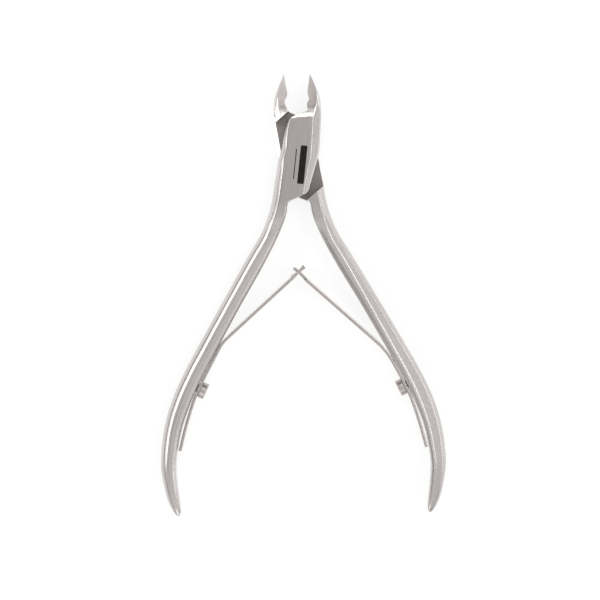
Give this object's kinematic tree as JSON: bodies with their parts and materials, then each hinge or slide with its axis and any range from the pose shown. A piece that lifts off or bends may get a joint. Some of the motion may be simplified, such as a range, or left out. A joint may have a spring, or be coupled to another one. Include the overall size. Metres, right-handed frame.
{
  "type": "cuticle nipper",
  "caption": "Lap-joint cuticle nipper with pointed jaws, curved bow handles and interlocking leaf springs that hold it half open.",
  "frame": {"origin": "on the pivot axis, at the flat head of the pivot rivet, which lies flush with the back face of the joint that the tool rests on", "axes": "+Y along the tool towards the jaws, +X to the right when the front lap faces the viewer, +Z out of the front lap, along the pivot axis"},
  "size_m": [0.0684, 0.1055, 0.0064],
  "materials": {
    "forged_steel": "satin brushed stainless steel, polished on the bevels and round the jaws, left rough in the joint recesses",
    "spring_steel": "fine satin spring steel",
    "screw_steel": "turned and nickel plated",
    "rivet_steel": "ground flush with the lap"
  },
  "bodies": {
    "front_half": {"front_half": "forged_steel", "pivot_rivet": "rivet_steel", "left_spring": "spring_steel", "left_spring_screw": "screw_steel"},
    "back_half": {"back_half": "forged_steel", "right_spring": "spring_steel", "right_spring_screw": "screw_steel"},
    "left_spring_arm": {"left_spring_arm": "spring_steel"},
    "right_spring_arm": {"right_spring_arm": "spring_steel"}
  },
  "joints": [
    {"name": "jaw_pivot", "type": "hinge", "parent": "front_half", "child": "back_half", "pos_m": [0, 0, 0.0032], "axis": [0, 0, -1], "range_deg": [0, 17], "stiffness_Nm_per_rad": 1},
    {"name": "left_spring_flex", "type": "hinge", "parent": "front_half", "child": "left_spring_arm", "pos_m": [-0.01898, -0.0436, 0.0032], "axis": [0, 0, 1], "range_deg": [0, 12]},
    {"name": "right_spring_flex", "type": "hinge", "parent": "back_half", "child": "right_spring_arm", "pos_m": [0.02036, -0.04614, 0.0032], "axis": [0, 0, -1], "range_deg": [0, 9.9]}
  ],
  "couplings": [
    {"joint": "left_spring_flex", "follows": "jaw_pivot", "ratio": 0.7},
    {"joint": "right_spring_flex", "follows": "jaw_pivot", "ratio": 0.58}
  ]
}
